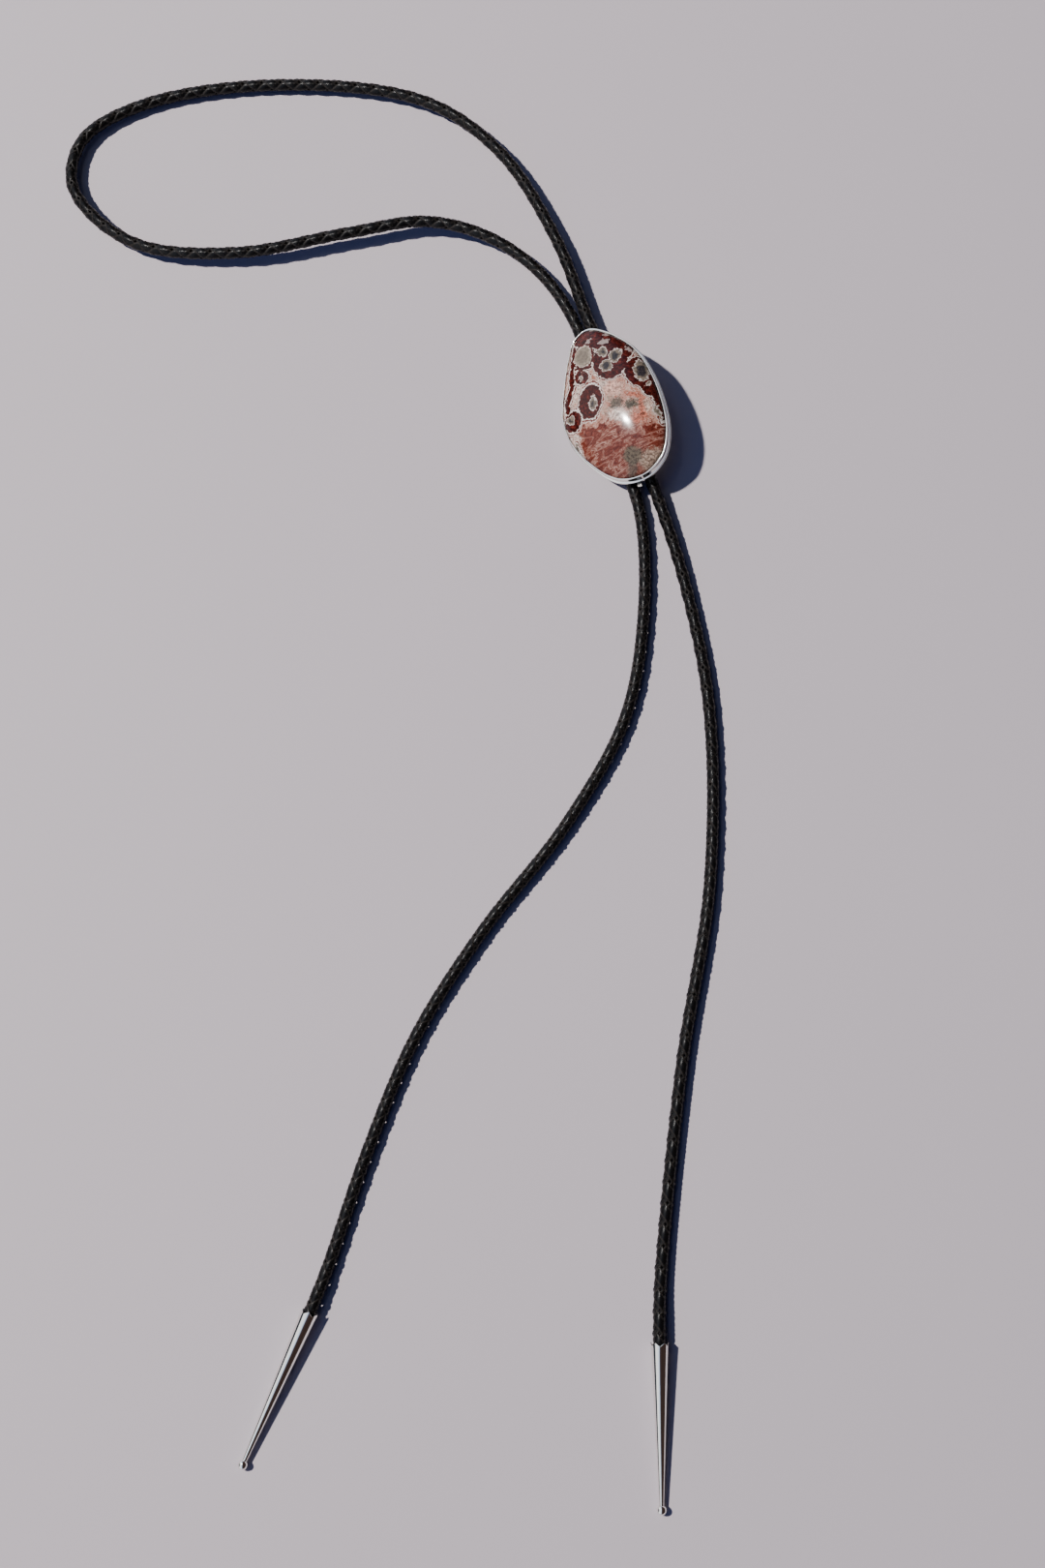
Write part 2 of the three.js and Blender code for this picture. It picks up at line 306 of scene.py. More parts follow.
def cord_route(tips, diameter):
    """The cord's middle line from the left tip to the right tip, in millimetres."""
    slide = slide_matrix()
    flat = diameter / MM / 2 + TABLE_GAP

    def in_mouth(name):
        place = tip_matrix(name, tips)
        return [place @ Vector((0, 0, z)) for z in (-CORD_IN_TIP, CORD_OUT_OF_TIP)]

    def in_channel(x):
        return [slide @ Vector((x, y, CHANNEL_Z)) for y in (-CHANNEL_REACH, 0, CHANNEL_REACH)]

    def on_table(rows):
        return [Vector((x, y, flat + lift)) for x, y, lift in rows]

    route = in_mouth("tip_left") + on_table(LEFT_TAIL) + in_channel(-CHANNEL_X) + on_table(NECK_LOOP)
    route += in_channel(CHANNEL_X)[::-1] + on_table(RIGHT_TAIL) + in_mouth("tip_right")[::-1]
    return spline(route, closed=False)


def outline(slide, count):
    """The stone's outline as even points, counter-clockwise, and its outward normals."""
    half = (slide.stone_width / MM / 2, slide.stone_length / MM / 2)
    corners = [(x * half[0], y * half[1], 0) for x, y in reversed(STONE_OUTLINE)]
    line = spline(corners, closed=True)
    line = np.vstack([line, line[:1]])
    whole = lengths_along(line)[-1]
    edge = points_at(line, np.arange(count) / count * whole)
    ahead = np.roll(edge, -1, axis=0) - np.roll(edge, 1, axis=0)
    ahead /= np.linalg.norm(ahead, axis=1)[:, None]
    return edge, np.stack([ahead[:, 1], -ahead[:, 0], np.zeros(count)], axis=1)


def stone_spot(x, y, slide):
    """Where a mark in the enlarged look falls on the stone, in the slide's millimetres."""
    seen = (LOOK_CORNER[0] + x / LOOK_ENLARGED, LOOK_CORNER[1] + y / LOOK_ENLARGED)
    focal = LENS / SENSOR * PHOTO_HEIGHT
    camera = camera_matrix()
    to_slide = slide_matrix().inverted()
    eye = to_slide @ (camera.translation / MM)
    way = camera.to_3x3() @ Vector((seen[0] - PHOTO_WIDTH / 2, PHOTO_HEIGHT / 2 - seen[1], -focal))
    way = to_slide.to_3x3() @ way
    half = (slide.stone_width / MM / 2, slide.stone_length / MM / 2)
    spot = Vector((0, 0, 0))
    for _ in range(6):
        share = min(1, math.hypot(spot.x / half[0], spot.y / half[1]))
        height = SETTING_Z + GIRDLE_TOP + slide.dome_height / MM * math.sqrt(1 - share ** 2)
        spot = eye + way * ((height - eye.z) / way.z)
    return spot.to_2d()


def stone_oval(mark, slide):
    """A mark's middle, half sizes and turn on the stone, in millimetres and radians."""
    x, y, across, up, degrees = mark
    turn = math.radians(degrees)
    middle = stone_spot(x, y, slide)
    side = stone_spot(x + across * math.cos(turn), y - across * math.sin(turn), slide) - middle
    top = stone_spot(x - up * math.sin(turn), y - up * math.cos(turn), slide) - middle
    return middle, (side.length, top.length), math.atan2(side.y, side.x)


def sheet_faces(rows, columns):
    """Quads over a grid of points whose last column joins the first."""
    row, column = np.meshgrid(np.arange(rows - 1), np.arange(columns), indexing="ij")
    here = row * columns + column
    beside = row * columns + (column + 1) % columns
    return np.stack([here, beside, beside + columns, here + columns], axis=-1).reshape(-1, 4)


def make_piece(name, points, faces, material, sharp=None, uv=None):
    """A mesh object from points in millimetres, smooth apart from edges sharper than the angle."""
    mesh = bpy.data.meshes.new(name)
    mesh.from_pydata((np.asarray(points) * MM).tolist(), [], faces)
    if uv is not None:
        layer = mesh.uv_layers.new(name="Along")
        corner = np.empty(len(mesh.loops), dtype=np.int32)
        mesh.loops.foreach_get("vertex_index", corner)
        layer.data.foreach_set("uv", np.asarray(uv)[corner].astype(np.float32).ravel())
    mesh.shade_smooth()
    if sharp is not None:
        mesh.set_sharp_from_angle(angle=math.radians(sharp))
    mesh.materials.append(material)
    piece = bpy.data.objects.new(name, mesh)
    bpy.context.scene.collection.objects.link(piece)
    return piece


def loft(rings):
    """Points and faces of a closed body through rings of as many points each."""
    rings = [np.asarray(ring, dtype=float) for ring in rings]
    count = len(rings[0])
    points = np.vstack(rings + [rings[0].mean(axis=0)[None], rings[-1].mean(axis=0)[None]])
    faces = sheet_faces(len(rings), count).tolist()
    last = (len(rings) - 1) * count
    for j in range(count):
        k = (j + 1) % count
        faces.append((len(points) - 2, k, j))
        faces.append((len(points) - 1, last + j, last + k))
    return points, faces


def placed(points, matrix):
    """The points moved by the matrix."""
    turn = np.array(matrix.to_3x3())
    return np.asarray(points) @ turn.T + np.array(matrix.translation)


def braid(route, diameter, pitch):
    """Four flat strands braided round the route, as points, faces and UVs."""
    whole = lengths_along(route)[-1]
    rings = int(whole / (pitch / BRAID_RINGS_PER_PITCH))
    along = np.linspace(0, whole, rings)
    middle = points_at(route, along)
    before = points_at(route, np.clip(along - DIRECTION_REACH, 0, whole))
    ahead = points_at(route, np.clip(along + DIRECTION_REACH, 0, whole)) - before
    ahead /= np.linalg.norm(ahead, axis=1)[:, None]
    up = np.array([0, 0, 1.0]) - ahead * ahead[:, 2:]
    up /= np.linalg.norm(up, axis=1)[:, None]
    side = np.cross(ahead, up)
    shares, degrees = zip(*BRAID_TURNS)
    turned = np.radians(np.interp(along / whole, shares, degrees))
    to_end = np.minimum(along, whole - along)
    narrowing = 1 - END_NARROWING * np.clip(1 - to_end / CORD_IN_TIP, 0, 1)

    radius = diameter / 2 * BRAID_SWELL
    thickness = STRAND_THICKNESS * radius
    swing = WEAVE_SWING * radius
    mid = radius - thickness - swing
    reach = math.radians(STRAND_REACH)
    rate = math.pi / pitch
    bend = np.radians(STRAND_CORNERS)
    across = np.sign(np.cos(bend)) * np.abs(np.cos(bend)) ** STRAND_ROUNDNESS
    out = np.sign(np.sin(bend)) * np.abs(np.sin(bend)) ** STRAND_ROUNDNESS

    points, faces, uv = [], [], []
    for strand in range(STRANDS):
        hand = 1 if strand < STRANDS / 2 else -1
        course = hand * rate * along + (strand % 2) * math.pi
        angle = course[:, None] + across[None] * reach
        weave = hand * (np.cos(2 * rate * along)[:, None] + np.cos(2 * angle)) / 2
        far = (mid + swing * weave + thickness * out[None]) * narrowing[:, None]
        angle = angle + turned[:, None]
        ring = (
            middle[:, None]
            + (far * np.cos(angle))[..., None] * up[:, None]
            + (far * np.sin(angle))[..., None] * side[:, None]
        )
        start = len(points) * rings * len(bend)
        quads = sheet_faces(rings, len(bend))[:, ::-1] + start
        faces += quads.tolist()
        faces.append([start + k for k in range(len(bend))])
        faces.append([start + (rings - 1) * len(bend) + k for k in reversed(range(len(bend)))])
        points.append(ring.reshape(-1, 3))
        grain = along[:, None] / GRAIN_LENGTH + strand * GRAIN_SHIFT
        uv.append(np.stack(np.broadcast_arrays(grain, across[None]), axis=-1))
    return np.vstack(points), faces, np.vstack([u.reshape(-1, 2) for u in uv])


class Shading:
    """Adds nodes to a node tree, each linked to the sockets or given the values it is passed."""

    def __init__(self, tree):
        self.tree = tree

    def add(self, kind, inputs=None, **settings):
        node = self.tree.nodes.new(kind)
        for name, value in settings.items():
            setattr(node, name, value)
        for name, value in (inputs or {}).items():
            self.feed(node.inputs[name], value)
        return node

    def feed(self, socket, value):
        if isinstance(value, bpy.types.NodeSocket):
            self.tree.links.new(value, socket)
        else:
            socket.default_value = value

    def maths(self, operation, *values, clamp=False):
        node = self.add("ShaderNodeMath", operation=operation, use_clamp=clamp)
        for socket, value in zip(node.inputs, values):
            self.feed(socket, value)
        return node.outputs[0]

    def vector(self, operation, *values, scale=None):
        node = self.add("ShaderNodeVectorMath", operation=operation)
        for socket, value in zip(node.inputs, values):
            self.feed(socket, value)
        if scale is not None:
            self.feed(node.inputs["Scale"], scale)
        return node.outputs["Value" if operation in ("LENGTH", "DOT_PRODUCT", "DISTANCE") else "Vector"]

    def between(self, value, low, high):
        """A share that goes softly from 0 to 1 as the value goes from low to high."""
        node = self.add("ShaderNodeMapRange", interpolation_type="SMOOTHSTEP")
        self.feed(node.inputs["Value"], value)
        node.inputs["From Min"].default_value = low
        node.inputs["From Max"].default_value = high
        return node.outputs["Result"]

    def mix(self, share, first, second, blend="MIX"):
        """Two colours mixed by a share, through the node's sockets for colours."""
        node = self.add("ShaderNodeMix", data_type="RGBA", blend_type=blend)
        self.feed(node.inputs[0], share)
        self.feed(node.inputs[6], first)
        self.feed(node.inputs[7], second)
        return node.outputs[2]

    def cover(self, colour, value, low, high, share, code):
        """The colour with a tone laid over it, up to a share, as the value goes from low to high."""
        return self.mix(self.maths("MULTIPLY", self.between(value, low, high), share), colour, tone(code))

    def noise(self, vector, scale, detail=3.0, roughness=0.55, distortion=0.0):
        return self.add("ShaderNodeTexNoise", {
            "Vector": vector, "Scale": scale, "Detail": detail, "Roughness": roughness,
            "Distortion": distortion,
        })

    def ramp(self, value, *stops):
        """A colour that goes through screen tones, each at its place."""
        node = self.add("ShaderNodeValToRGB", {"Fac": value})
        elements = node.color_ramp.elements
        while len(elements) < len(stops):
            elements.new(0.5)
        for element, (place, code) in zip(elements, stops):
            element.position = place
            element.color = tone(code)
        return node.outputs["Color"]

    def bump(self, height, strength, distance):
        node = self.add("ShaderNodeBump", {"Height": height, "Strength": strength, "Distance": distance})
        return node.outputs["Normal"]


def new_group(name, inputs, outputs):
    """An empty shader node group with these sockets, with its input and output nodes."""
    group = bpy.data.node_groups.new(name, "ShaderNodeTree")
    for socket, kind, value in inputs:
        made = group.interface.new_socket(socket, in_out="INPUT", socket_type=kind)
        if value is not None:
            made.default_value = value
    for socket, kind in outputs:
        group.interface.new_socket(socket, in_out="OUTPUT", socket_type=kind)
    shading = Shading(group)
    return group, shading, shading.add("NodeGroupInput").outputs, shading.add("NodeGroupOutput")


def place_group(shading, group, **inputs):
    """The outputs of a group placed in a tree with these values."""
    node = shading.add("ShaderNodeGroup", node_tree=group)
    for name, value in inputs.items():
        shading.feed(node.inputs[name.replace("_", " ")], value)
    return node.outputs


def wear_group():
    """Patches of wear or grime: broad noise broken up by fine noise."""
    name = "Surface wear"
    if name in bpy.data.node_groups:
        return bpy.data.node_groups[name]
    group, s, given, result = new_group(
        name,
        [
            ("Position", "NodeSocketVector", None),
            ("Patch size", "NodeSocketFloat", 0.004),
            ("Amount", "NodeSocketFloat", 0.5),
        ],
        [("Mask", "NodeSocketFloat"), ("Fine", "NodeSocketFloat")],
    )
    scale = s.maths("DIVIDE", 1.0, given["Patch size"])
    broad = s.noise(given["Position"], scale, 3.0).outputs["Fac"]
    fine = s.noise(given["Position"], s.maths("MULTIPLY", scale, 9.0), 4.0, 0.65).outputs["Fac"]
    both = s.maths("ADD", s.maths("MULTIPLY", broad, 0.65), s.maths("MULTIPLY", fine, 0.35))
    start = s.maths("SUBTRACT", 0.72, s.maths("MULTIPLY", given["Amount"], 0.4))
    mask = s.maths("MULTIPLY", s.maths("SUBTRACT", both, start), 6.0, clamp=True)
    s.feed(result.inputs["Mask"], mask)
    s.feed(result.inputs["Fine"], fine)
    return group


def scratches_group():
    """Fine scratches in two directions, as a height."""
    name = "Fine scratches"
    if name in bpy.data.node_groups:
        return bpy.data.node_groups[name]
    group, s, given, result = new_group(
        name,
        [("Position", "NodeSocketVector", None), ("Scale", "NodeSocketFloat", 900.0)],
        [("Height", "NodeSocketFloat")],
    )
    lines = []
    for turn, stretch in ((0.5, (1, 0.05, 0.3)), (-1.1, (0.06, 1, 0.3))):
        turned = s.add("ShaderNodeVectorRotate", {"Vector": given["Position"], "Angle": turn})
        drawn = s.vector("MULTIPLY", turned.outputs["Vector"], stretch)
        grain = s.noise(drawn, given["Scale"], 2.0, 0.5).outputs["Fac"]
        lines.append(s.maths("POWER", s.maths("ABSOLUTE", s.maths("SUBTRACT", grain, 0.5)), 0.5))
    s.feed(result.inputs["Height"], s.maths("MINIMUM", lines[0], lines[1]))
    return group


def orb_group():
    """How far a point lies outside an oval, in the position's own units."""
    name = "Orb distance"
    if name in bpy.data.node_groups:
        return bpy.data.node_groups[name]
    group, s, given, result = new_group(
        name,
        [
            ("Position", "NodeSocketVector", None),
            ("Centre", "NodeSocketVector", None),
            ("Half size", "NodeSocketVector", (1, 1, 1)),
            ("Turn", "NodeSocketFloat", 0.0),
        ],
        [("Distance", "NodeSocketFloat")],
    )
    away = s.vector("SUBTRACT", given["Position"], given["Centre"])
    back = s.maths("MULTIPLY", given["Turn"], -1.0)
    turned = s.add("ShaderNodeVectorRotate", {"Vector": away, "Angle": back}, rotation_type="Z_AXIS")
    share = s.vector("LENGTH", s.vector("DIVIDE", turned.outputs["Vector"], given["Half size"]))
    size = s.add("ShaderNodeSeparateXYZ", {"Vector": given["Half size"]}).outputs
    least = s.maths("MINIMUM", size["X"], size["Y"])
    s.feed(result.inputs["Distance"], s.maths("MULTIPLY", s.maths("SUBTRACT", share, 1.0), least))
    return group


def new_material(name):
    """A material with one Principled shader, its tree's helper, and the object's own coordinates."""
    material = bpy.data.materials.new(name)
    material.use_nodes = True
    shading = Shading(material.node_tree)
    shader = next(n for n in material.node_tree.nodes if n.type == "BSDF_PRINCIPLED")
    own = shading.add("ShaderNodeTexCoord").outputs["Object"]
    return material, shading, shader, own


def leather_material(finish):
    """Black leather strands: fine grain, duller edges, worn crowns, and painted highlight lines along the
    strand edges.
    """
    material, s, shader, own = new_material("Braided leather")
    wear = place_group(s, wear_group(), Position=own, Patch_size=0.007, Amount=0.45)
    along = s.add("ShaderNodeUVMap", uv_map="Along").outputs["UV"]
    across = s.add("ShaderNodeSeparateXYZ", {"Vector": along}).outputs["Y"]
    edge = s.between(s.maths("ABSOLUTE", across), 0.62, 1.0)
    fibre = s.noise(s.vector("MULTIPLY", along, (6, 9, 1)), 3.0, 4.0, 0.6).outputs["Fac"]
    dark = tuple(finish.leather)
    worn = tuple(c * 2.2 + 0.002 for c in finish.leather[:3]) + (1,)
    colour = s.mix(s.maths("MULTIPLY", wear["Mask"], 0.55), dark, worn)
    colour = s.mix(s.maths("MULTIPLY", edge, 0.5), colour, tuple(c * 0.35 for c in dark[:3]) + (1,))
    # Painted highlight: thin lighter brown lines near both edges of each strand stand in for light caught on
    # the strand edges
    painted_glint_line = s.between(s.maths("ABSOLUTE", across), 0.55, 0.72)
    painted_glint_line = s.maths("MULTIPLY", painted_glint_line, s.between(s.maths("ABSOLUTE", across), 0.98, 0.86))
    painted_glint_line = s.maths("MULTIPLY", painted_glint_line, s.between(fibre, 0.42, 0.6))
    colour = s.mix(s.maths("MULTIPLY", painted_glint_line, 0.6), colour, (0.045, 0.037, 0.031, 1))
    s.feed(shader.inputs["Base Color"], colour)
    rough = s.maths("ADD", s.maths("MULTIPLY", wear["Fine"], 0.2), s.maths("MULTIPLY", edge, 0.2))
    s.feed(shader.inputs["Roughness"], s.maths("ADD", rough, 0.18))
    shader.inputs["Specular IOR Level"].default_value = 0.16
    pores = s.add("ShaderNodeTexVoronoi", {"Vector": own, "Scale": 3600.0}).outputs["Distance"]
    height = s.maths("ADD", s.maths("MULTIPLY", pores, 0.2), fibre)
    s.feed(shader.inputs["Normal"], s.bump(height, 0.25, 0.00003))
    return material


def silver_material(finish):
    """Polished silver with hair scratches and a little tarnish."""
    material, s, shader, own = new_material("Polished silver")
    wear = place_group(s, wear_group(), Position=own, Patch_size=0.006, Amount=0.3)
    fine = place_group(s, scratches_group(), Position=own, Scale=1400.0)
    tarnish = tuple(c * k for c, k in zip(finish.silver[:3], (0.62, 0.57, 0.5))) + (1,)
    mask = s.maths("MULTIPLY", wear["Mask"], 0.22)
    s.feed(shader.inputs["Base Color"], s.mix(mask, tuple(finish.silver), tarnish))
    shader.inputs["Metallic"].default_value = 1.0
    rough = s.maths("ADD", s.maths("MULTIPLY", wear["Mask"], 0.12), s.maths("MULTIPLY", wear["Fine"], 0.08))
    s.feed(shader.inputs["Roughness"], s.maths("ADD", rough, 0.05))
    s.feed(shader.inputs["Normal"], s.bump(fine["Height"], 0.12, 0.00004))
    return material


def clip_material(finish):
    """Brushed plated sheet."""
    material, s, shader, own = new_material("Plated sheet")
    wear = place_group(s, wear_group(), Position=own, Patch_size=0.004, Amount=0.5)
    fine = place_group(s, scratches_group(), Position=own, Scale=900.0)
    brushed = s.noise(s.vector("MULTIPLY", own, (1, 0.03, 1)), 2500.0, 3.0).outputs["Fac"]
    dull = tuple(c * 0.6 for c in finish.clip[:3]) + (1,)
    s.feed(shader.inputs["Base Color"], s.mix(wear["Mask"], tuple(finish.clip), dull))
    shader.inputs["Metallic"].default_value = 1.0
    s.feed(shader.inputs["Roughness"], s.maths("ADD", s.maths("MULTIPLY", brushed, 0.25), 0.18))
    height = s.maths("ADD", brushed, fine["Height"])
    s.feed(shader.inputs["Normal"], s.bump(height, 0.3, 0.00003))
    return material


def nearest_orb(s, position, marks, slide):
    """Distance to the nearest of the marked ovals, which run together softly."""
    nearest = None
    for mark in marks:
        middle, half, turn = stone_oval(mark, slide)
        distance = place_group(
            s, orb_group(), Position=position, Centre=(*middle, 0), Half_size=(*half, 1), Turn=turn
        )["Distance"]
        nearest = distance if nearest is None else s.maths("SMOOTH_MIN", nearest, distance, 0.25)
    return nearest


def stone_noises(s, own):
    """The noises that the stone's colours share, in the slide's millimetres seen from above."""
    local = s.add("ShaderNodeMapping", {"Vector": own}, vector_type="TEXTURE")
    local.inputs["Location"].default_value = slide_matrix().translation * MM
    local.inputs["Rotation"].default_value = (0, -math.radians(SLIDE_ROLL), 0)
    plan = s.vector("MULTIPLY", local.outputs["Vector"], (1 / MM, 1 / MM, 0))
    moved = plan
    for scale, reach in ((0.22, 1.5), (0.9, 1.2), (2.6, 0.5)):
        drift = s.vector("SUBTRACT", s.noise(plan, scale, 2.0).outputs["Color"], (0.5, 0.5, 0.5))
        moved = s.vector("ADD", moved, s.vector("MULTIPLY", drift, (reach, reach, 0)))
    bubbles = s.add("ShaderNodeTexVoronoi", {"Vector": plan, "Scale": 1.2}, feature="SMOOTH_F1")
    bubbles.inputs["Smoothness"].default_value = 0.2
    return SimpleNamespace(
        plan=plan,
        moved=moved,
        scallop=s.maths("SUBTRACT", bubbles.outputs["Distance"], 0.4),
        speckle=s.noise(plan, 3.0, 4.0, 0.7).outputs["Fac"],
        grain=s.noise(plan, 8.0, 3.0, 0.7).outputs["Fac"],
        cloud=s.noise(moved, 0.5, 5.0, 0.62, 0.8).outputs["Fac"],
        blots=s.noise(moved, 1.3, 4.0, 0.65).outputs["Fac"],
    )


def ground_colour(s, noises):
    """Cream and pink between the orbs, veined with salmon and speckled with white and olive."""
    ground = s.ramp(
        noises.cloud,
        (0.32, "6a5a4c"), (0.40, "917c6b"), (0.46, "b59a89"), (0.52, "c49c8a"), (0.58, "a9705a"),
        (0.63, "bd9482"), (0.72, "96533d"),
    )
    vein = s.noise(noises.moved, 0.3, 3.0).outputs["Fac"]
    vein = s.maths("PINGPONG", s.maths("MULTIPLY", vein, 8.0), 0.5)
    ground = s.cover(ground, vein, 0.09, 0.03, 0.75, "95482f")
    ground = s.cover(ground, vein, 0.4, 0.46, 0.4, "d6cbc0")
    ground = s.cover(ground, noises.speckle, 0.54, 0.66, 0.4, "d6cbc0")
    return s.cover(ground, noises.speckle, 0.46, 0.34, 0.6, "5e5145")


def streak_colour(s, noises, height):
    """Streaks of brick, salmon and cream that rise to the right."""
    lying = s.add(
        "ShaderNodeVectorRotate", {"Vector": noises.plan, "Angle": math.radians(STREAK_TURN)},
        rotation_type="Z_AXIS",
    )
    drawn = s.vector("MULTIPLY", lying.outputs["Vector"], (0.34, 1.25, 1))
    curl = s.noise(drawn, 0.26, 2.6, 0.5, 0.9).outputs["Fac"]
    bands = s.maths("PINGPONG", s.maths("MULTIPLY_ADD", curl, 5.0, s.maths("MULTIPLY", height, 0.1)), 0.5)
    streaks = s.ramp(
        s.maths("MULTIPLY", bands, 2.0),
        (0.0, "6a2a1b"), (0.12, "85391f"), (0.26, "a3573d"), (0.38, "7c3220"), (0.5, "a05a42"),
        (0.62, "833924"), (0.72, "ab7059"), (0.84, "d6b3a2"), (0.93, "9d5238"), (1.0, "762f1e"),
    )
    streaks = s.cover(streaks, noises.speckle, 0.58, 0.72, 0.2, "b98f7a")
    streaks = s.cover(streaks, noises.grain, 0.44, 0.32, 0.25, "4f2116")
    streaks = s.cover(streaks, noises.cloud, 0.53, 0.62, 0.5, "c49f8d")
    streaks = s.cover(streaks, noises.cloud, 0.45, 0.33, 0.5, "6e2c1c")
    return s.mix(1.0, streaks, STREAK_DEPTH, "MULTIPLY")


def with_patches(s, colour, noises, slide):
    """The colour with the ground's softer places and the painted glare haze, ragged at their edges and
    mottled inside.
    """
    mottle = s.maths("MULTIPLY_ADD", s.between(noises.blots, 0.38, 0.62), 1.1, 0.45)
    uneven = s.maths("MULTIPLY_ADD", noises.cloud, 3.0, -3.5)
    uneven = s.maths("ADD", s.maths("MULTIPLY", noises.speckle, 4.0), uneven)
    for mark, code, share in GROUND_PLACES.values():
        edge = s.maths("ADD", nearest_orb(s, noises.moved, [mark], slide), uneven)
        patch = s.vector("SCALE", tone(code)[:3], scale=mottle)
        colour = s.mix(s.maths("MULTIPLY", s.between(edge, 0.5, -0.4), share), colour, patch)
    return colour


def with_red_orbs(s, colour, noises, red):
    """The colour with oxblood orbs, which have a white rim, a fine red line and a cream halo."""
    inner = s.ramp(
        s.noise(noises.moved, 0.9, 5.0, 0.68).outputs["Fac"],
        (0.32, "2a1210"), (0.44, "42150f"), (0.54, "581d13"), (0.62, "742b1a"), (0.74, "8a4634"),
    )
    inner = s.cover(inner, noises.grain, 0.6, 0.72, 0.35, "8e6a60")
    rims = s.ramp(
        s.maths("MULTIPLY_ADD", red, 0.3, 0.5),
        (0.42, "6b2115"), (0.48, "3b110c"), (0.5, "c6bab0"), (0.57, "e2dad2"), (0.6, "6c2a1a"),
        (0.67, "7f3a28"), (0.7, "dacfc5"), (0.78, "b08d7d"), (0.84, "95593f"),
    )
    colour = s.mix(s.between(red, 1.15, 0.85), colour, rims)
    return s.mix(s.between(red, -0.1, -0.3), colour, inner)


def with_flecks(s, colour, noises, fleck):
    """The colour with pale lilac flecks."""
    lilac = s.mix(s.between(noises.grain, 0.42, 0.6), tone("6b5552"), tone("c9bcb6"))
    return s.mix(s.between(fleck, 0.15, -0.05), colour, lilac)


def with_cores(s, colour, noises, core):
    """The colour with crystal cores, a thin white crust round an olive-grey heart."""
    crust = s.ramp(
        s.maths("MULTIPLY_ADD", core, 0.4, 0.5),
        (0.0, "37343a"), (0.14, "4d4846"), (0.26, "7b7063"), (0.38, "8a7e6f"), (0.43, "5f5047"),
        (0.46, "c9c0b7"), (0.52, "d6cec6"), (0.55, "7c4838"), (0.6, "4a170f"),
    )
    crust = s.cover(crust, noises.grain, 0.53, 0.68, 0.5, "b3a8a0")
    return s.mix(s.between(core, 0.24, 0.14), colour, crust)


def with_beige_orb(s, colour, noises, beige):
    """The colour with the beige orb in its pale shell."""
    shell = s.ramp(
        s.maths("MULTIPLY_ADD", beige, 0.4, 0.5),
        (0.0, "857b6f"), (0.22, "958b7d"), (0.33, "a89d8e"), (0.39, "70503f"), (0.44, "c9bfb2"),
        (0.52, "d3c9bf"), (0.56, "6f2b1c"),
    )
    shell = s.cover(shell, noises.blots, 0.54, 0.42, 0.5, "6a6054")
    return s.mix(s.between(beige, 0.24, 0.12), colour, shell)


def stone_material(slide):
    """Polished lace stone: oxblood orbs with white rims, crystal cores, salmon and cream bands."""
    material, s, shader, own = new_material("Lace stone")
    noises = stone_noises(s, own)

    def distance(marks, bubbly):
        nearest = nearest_orb(s, noises.moved, marks.values(), slide)
        return s.maths("MULTIPLY_ADD", noises.scallop, bubbly, nearest)

    place = s.add("ShaderNodeSeparateXYZ", {"Vector": noises.moved}).outputs
    height = s.maths("MULTIPLY", place["Y"], STREAK_RISE[1])
    height = s.maths("MULTIPLY_ADD", place["X"], STREAK_RISE[0], height)
    ragged = s.maths("MULTIPLY_ADD", s.maths("SUBTRACT", noises.cloud, 0.5), 22.0, height)
    streaks = streak_colour(s, noises, height)
    core = distance(CORES, 0.9)
    colour = s.mix(s.between(ragged, *STREAK_EDGE), ground_colour(s, noises), streaks)
    colour = with_patches(s, colour, noises, slide)
    colour = with_red_orbs(s, colour, noises, distance(RED_ORBS, 0.5))
    colour = with_flecks(s, colour, noises, distance(FLECKS, 0.9))
    colour = with_cores(s, colour, noises, core)
    colour = with_beige_orb(s, colour, noises, distance(BEIGE_ORB, 0.6))
    colour = s.cover(colour, noises.grain, 0.56, 0.36, 0.25, "2c1a14")
    deep = s.add("ShaderNodeGamma", {"Color": colour, "Gamma": STONE_GAMMA}).outputs["Color"]
    deep = s.add("ShaderNodeHueSaturation", {"Color": deep, "Saturation": STONE_SATURATION})
    s.feed(shader.inputs["Base Color"], deep.outputs["Color"])
    smear = s.noise(own, 260.0, 3.0).outputs["Fac"]
    s.feed(shader.inputs["Roughness"], s.maths("MULTIPLY_ADD", smear, 0.08, 0.06))
    shader.inputs["Specular IOR Level"].default_value = 0.3
    fine = place_group(s, scratches_group(), Position=own, Scale=700.0)
    pits = s.maths("MULTIPLY", s.between(core, 0.1, -0.3), noises.grain)
    s.feed(shader.inputs["Normal"], s.bump(s.maths("ADD", fine["Height"], pits), 0.05, 0.00005))
    return material


def floor_material(stage):
    """Smooth pale board with a barely uneven tone."""
    material, s, shader, own = new_material("Pale board")
    tint = tuple(c * 0.97 for c in stage.floor_colour[:3]) + (1,)
    share = s.noise(own, 9.0, 4.0).outputs["Fac"]
    s.feed(shader.inputs["Base Color"], s.mix(share, tuple(stage.floor_colour), tint))
    s.feed(shader.inputs["Roughness"], s.maths("MULTIPLY_ADD", s.noise(own, 500.0).outputs["Fac"], 0.1, 0.7))
    shader.inputs["Specular IOR Level"].default_value = 0.25
    return material


def length_setting(name, about, value):
    """A length in metres that can be set."""
    return FloatProperty(name=name, description=about, default=value, min=0, unit="LENGTH", precision=5)


def colour_setting(name, about, value):
    """A colour that can be set."""
    return FloatVectorProperty(
        name=name, description=about, default=value, size=4, min=0, max=1, subtype="COLOR"
    )


class CordSettings(bpy.types.PropertyGroup):
    """Sizes of the braided cord."""

    diameter: length_setting("Diameter", "Outer diameter of the braid", 0.004)
    pitch: length_setting("Pitch", "Length of one diamond of the braid along the cord", 0.0062)


